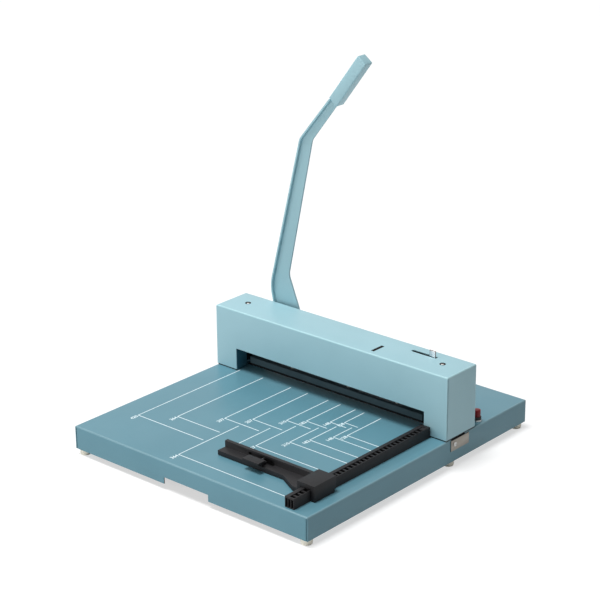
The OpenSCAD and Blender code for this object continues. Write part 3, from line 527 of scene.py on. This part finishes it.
def makePad(look):
    lo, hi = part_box("clamp_bar")
    split = lo.z + look["height"]
    stripRoom = boxBetween("stripRoom", (lo.x - spare, lo.y - spare, lo.z - spare),
                         (hi.x + spare, hi.y + spare, split))
    carve(bpy.data.objects["clampJaw"], stripRoom)
    shadeStrip = boxBetween("clampShadeStrip", lo, (hi.x, hi.y, split))
    roundEdges(shadeStrip, look["edge"])
    hand(shadeStrip, shadeStripBlack, "clamp_unit", "black_plastic")


makePad(shadeStripSettings)
print("clamp pad made")


# tray of the cutting stick, run on to the skirt so that no light shows at its end
traySettings = {"edge": 0.2 * mm, "endBand": mm}


def makeTray(look):
    tray = cadCopy("stick_tray", "stickTray")
    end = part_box("stick_tray")[1].x
    slideFaces(tray, lambda face: face.normal.x > square and face.center.x > end - look["endBand"],
               panHi.x - tableSettings["sheet"] - end)
    roundEdges(tray, look["edge"], 2)
    hand(tray, darkPaint, "base", "dark_steel", "stick_tray")


makeTray(traySettings)
print("tray made")


# screws: domed heads with a cross recess; head height, dome and shank radius in millimetres
screwSettings = [
    {"node": "cover_screws", "name": "coverScrews", "points": "up", "head": 1.5, "dome": 0.8, "shank": 2},
    {"node": "cover_plate_screw", "name": "plateScrew", "points": "right", "head": 2, "shank": 2},
    {"node": "grip_screws", "name": "gripScrews", "points": "back", "head": 1.8, "shank": 1.95,
     "body": "lever"},
    {"node": "foot_screws", "name": "footScrews", "points": "down", "head": 2.5, "shank": 2.45},
    {"node": "frame_bolts", "name": "frameBolts", "points": "down", "head": 3.5, "shank": 3},
    {"node": "rail_screws", "name": "railScrews", "points": "down", "head": 1.5, "shank": 1.5},
]
# axis, side of the head and turn from upright
screwTurns = {"up": (2, 1, (0, 0, 0)), "down": (2, -1, (math.pi, 0, 0)), "right": (0, 1, (0, math.pi / 2, 0)),
              "back": (1, 1, (-math.pi / 2, 0, 0))}
# rounding and recess as shares of the head's height and radius, and how the shank joins it
headSettings = {"rounding": 0.7, "segments": 5, "recessFloor": 0.4, "recessLong": 0.6, "recessWide": 0.14,
                "shankSunk": 0.2 * mm, "shankSides": 24}


def makeScrew(look, shape, lo, hi):
    axis, side, turn = screwTurns[look["points"]]
    radius = (hi[axis - 1] - lo[axis - 1]) / 2
    base = look["head"] * mm
    height = base + look.get("dome", 0) * mm
    length = hi[axis] - lo[axis] - base
    screw = roundBar("screwHead", (0, 0, height / 2), radius, height)
    bevelEdges(screw, lambda a, b: a.z > height / 2 and b.z > height / 2, height * shape["rounding"],
               shape["segments"])
    long, wide = radius * shape["recessLong"], radius * shape["recessWide"]
    floor = height * shape["recessFloor"]
    for x, y in ((long, wide), (wide, long)):
        carve(screw, boxBetween("recess", (-x, -y, floor), (x, y, height + spare)))
    sunk = shape["shankSunk"]
    shank = roundBar("shank", (0, 0, (sunk - length) / 2), look["shank"] * mm, length + sunk,
                     sides=shape["shankSides"])
    carve(screw, shank, "UNION")
    smoothFaces(screw)
    middle = (lo + hi) / 2
    middle[axis] = hi[axis] - base if side > 0 else lo[axis] + base
    screw.rotation_euler = turn
    screw.location = middle
    settle(screw)
    return screw


for look in screwSettings:
    heads = [makeScrew(look, headSettings, lo, hi) for lo, hi in looseBoxes(look["node"])]
    screws = joinAll(look["name"], heads)
    hand(screws, brightSteel, look.get("body", "base"), "bright_steel", look["node"])
print("screws made")


# grip: a bar with rounded edges, turned to the lever's slope
gripSettings = {"length": 105 * mm, "width": 21.5 * mm, "thick": 20 * mm, "edge": 2 * mm, "slope": 52.7,
                "foot": (-54.9 * mm, 513.3 * mm)}


def makeGrip(look):
    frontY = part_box("lever_arm")[0].y
    half = look["width"] / 2
    bar = boxBetween("gripBar", (0, 0, -half), (look["length"], look["thick"], half))
    roundEdges(bar, look["edge"], 4)
    bar.rotation_euler = (0, -math.radians(look["slope"]), 0)
    bar.location = (look["foot"][0], frontY, tableTop + look["foot"][1])
    settle(bar)
    hand(bar, housingPaint, "lever", "housing_paint", "lever_grip")


makeGrip(gripSettings)
print("grip made")


# printed sheet corners on the table, with plain figures beside them
markSettings = {"line": 1.7 * mm, "thick": 0.06 * mm, "turn": 1.2 * mm, "backEnd": 67 * mm, "gap": 7.5 * mm,
                "railGap": mm, "figure": 10.5 * mm, "bold": 0.25 * mm, "figureShift": (1.2 * mm, -2.8 * mm),
                "guideEdge": 209.3 * mm, "cut": 104.2 * mm}
# width and height of each sheet, and the sheet at which its line stops, in millimetres
sheetsAcross = [(420, 297, 257), (364, 257, 257), (297, 210, 210), (257, 182, 182), (210, 148, 148),
                (182, 128, 128), (148, 105, 105), (128, 91, 91)]
sheetsAlong = [(257, 364, 210), (210, 297, 182), (182, 257, 148), (148, 210, 128), (128, 182, 105),
               (105, 148, 91), (91, 128, None)]


# two strips that meet at x, y, with the corner rounded off
def makeCorner(x, y, rightEnd, backEnd, look):
    half = look["line"] / 2
    low, high = tableTop, tableTop + look["thick"]
    across = boxBetween("markAcross", (x - half, y - half, low), (rightEnd, y + half, high))
    bevelEdges(across, lambda a, b: max(a.x, b.x) < x and max(a.y, b.y) < y and a.z != b.z, look["turn"])
    return [across, boxBetween("markAlong", (x - half, y + half, low), (x + half, backEnd, high))]


# a plain figure that reads from front to back
def makeFigure(words, x, y, look):
    clearPicks()
    bpy.ops.object.text_add(location=(0, 0, 0))
    label = bpy.context.object
    label.data.body = words
    label.data.size = look["figure"]
    label.data.align_x = "RIGHT"
    label.data.align_y = "CENTER"
    label.data.offset = look["bold"]
    label.data.extrude = look["thick"] / 2
    label.data.resolution_u = 2
    bpy.ops.object.convert(target="MESH")
    label = bpy.context.object
    label.rotation_euler = (0, 0, math.pi / 2)
    label.location = (x, y, tableTop + look["thick"] / 2)
    settle(label)
    return label


def makeMarks(look):
    marks, figures = [], []
    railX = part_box("side_rail")[0].x - look["railGap"]
    shiftX, shiftY = look["figureShift"]
    for width, height, stopWidth in sheetsAcross:
        x, y = look["guideEdge"] - width * mm, look["cut"] - height * mm
        marks += makeCorner(x, y, look["guideEdge"] - stopWidth * mm - look["gap"], look["backEnd"], look)
        figures.append(makeFigure(str(width), x + shiftX, y + shiftY, look))
    for width, height, stopHeight in sheetsAlong:
        x, y = look["guideEdge"] - width * mm, look["cut"] - height * mm
        backY = look["backEnd"] if stopHeight is None else look["cut"] - stopHeight * mm - look["gap"]
        marks += makeCorner(x, y, railX, backY, look)
        figures.append(makeFigure(str(height), x + shiftX, y + shiftY, look))
    hand(joinAll("sheetMarks", marks), whitePrint, "base", "table_paint")
    hand(joinAll("sheetFigures", figures), whitePrint, "base", "table_paint")


makeMarks(markSettings)
print("marks printed")


# floor, lights and camera
stageSettings = {"floorSize": 40, "floorTone": 0.76, "floorRough": 0.9, "seenTone": 0.45, "seenGlow": 0.6,
                 "worldStrength": 0.12, "sunStrength": 2.6, "sunSpread": 20, "sunHeight": 3,
                 "sunFrom": (-0.10, -0.17, 0.98)}
lampSettings = [
    {"name": "frontPanel", "place": (-1.0, -3.0, 0.8), "aim": (0, 0, 0.2), "size": 2.0, "energy": 33},
    {"name": "keyPanel", "place": (-1.6, -0.95, 1.95), "aim": (0, 0, 0.1), "size": 0.7, "energy": 8},
]


# one shader for the light that reaches the object, another for what is seen straight or by reflection
def mixRays(tree, plain, seen, output):
    path = tree.nodes.new("ShaderNodeLightPath")
    either = tree.nodes.new("ShaderNodeMath")
    either.operation = "MAXIMUM"
    tree.links.new(path.outputs["Is Camera Ray"], either.inputs[0])
    tree.links.new(path.outputs["Is Glossy Ray"], either.inputs[1])
    mix = tree.nodes.new("ShaderNodeMixShader")
    tree.links.new(either.outputs[0], mix.inputs["Fac"])
    tree.links.new(plain.outputs[0], mix.inputs[1])
    tree.links.new(seen.outputs[0], mix.inputs[2])
    tree.links.new(mix.outputs[0], output.inputs["Surface"])


def makeFloor(look):
    clearPicks()
    bpy.ops.mesh.primitive_plane_add(size=look["floorSize"], location=(0, 0, 0))
    floor = bpy.context.object
    floor.name = "paleFloor"
    material = bpy.data.materials.new("paleFloor")
    material.use_nodes = True
    tree = material.node_tree
    # a lit surface for the object, and a paler one for the eye, both with the shadow
    plain = tree.nodes["Principled BSDF"]
    seen = tree.nodes.new("ShaderNodeBsdfPrincipled")
    for shader, tone, glow in ((plain, look["floorTone"], 0), (seen, look["seenTone"], look["seenGlow"])):
        shader.inputs["Base Color"].default_value = (tone, tone, tone, 1)
        shader.inputs["Roughness"].default_value = look["floorRough"]
        shader.inputs["Specular IOR Level"].default_value = 0
        shader.inputs["Emission Color"].default_value = (1, 1, 1, 1)
        shader.inputs["Emission Strength"].default_value = glow
    mixRays(tree, plain, seen, tree.nodes["Material Output"])
    floor.data.materials.append(material)


def makeWorld(look):
    world = bpy.data.worlds.new("studio")
    bpy.context.scene.world = world
    world.use_nodes = True
    tree = world.node_tree
    plain = tree.nodes["Background"]
    seen = tree.nodes.new("ShaderNodeBackground")
    for shader, strength in ((plain, look["worldStrength"]), (seen, 1)):
        shader.inputs["Color"].default_value = (1, 1, 1, 1)
        shader.inputs["Strength"].default_value = strength
    mixRays(tree, plain, seen, tree.nodes["World Output"])


def makeSun(look):
    clearPicks()
    bpy.ops.object.light_add(type="SUN", location=(0, 0, look["sunHeight"]))
    sun = bpy.context.object
    sun.name = "overheadSun"
    sun.data.energy = look["sunStrength"]
    sun.data.angle = math.radians(look["sunSpread"])
    sun.rotation_euler = Vector(look["sunFrom"]).to_track_quat("Z", "Y").to_euler()


def makeLamp(look):
    clearPicks()
    bpy.ops.object.light_add(type="AREA", location=look["place"])
    lamp = bpy.context.object
    lamp.name = look["name"]
    lamp.data.size = look["size"]
    lamp.data.energy = look["energy"]
    lamp.rotation_euler = (Vector(look["aim"]) - Vector(look["place"])).to_track_quat("-Z", "Y").to_euler()


# angles in degrees, focal length in pixels
cameraSettings = {"azimuth": 41.188, "elevation": 21.028, "roll": -0.406, "distance": 3.3218,
                  "offset": (0.00601, -0.19455), "focal": 1919.4, "pixels": 600, "sensor": 36, "clipEnd": 100}


def makeCamera(look):
    a, e, r = (math.radians(look[key]) for key in ("azimuth", "elevation", "roll"))
    back = Vector((math.sin(a) * math.cos(e), -math.cos(a) * math.cos(e), math.sin(e)))
    right = Vector((math.cos(a), math.sin(a), 0))
    up = back.cross(right)
    right, up = right * math.cos(r) + up * math.sin(r), up * math.cos(r) - right * math.sin(r)
    place = back * look["distance"] - right * look["offset"][0] - up * look["offset"][1]
    place.z += tableTop
    bpy.ops.object.camera_add()
    camera = bpy.context.object
    camera.matrix_world = Matrix.Translation(place) @ Matrix((right, up, back)).transposed().to_4x4()
    camera.data.sensor_width = look["sensor"]
    camera.data.lens = look["focal"] * look["sensor"] / look["pixels"]
    camera.data.clip_end = look["clipEnd"]
    bpy.context.scene.camera = camera


makeFloor(stageSettings)
makeWorld(stageSettings)
makeSun(stageSettings)
for look in lampSettings:
    makeLamp(look)
makeCamera(cameraSettings)
bpy.context.scene.view_settings.view_transform = "Standard"
print("stage set")
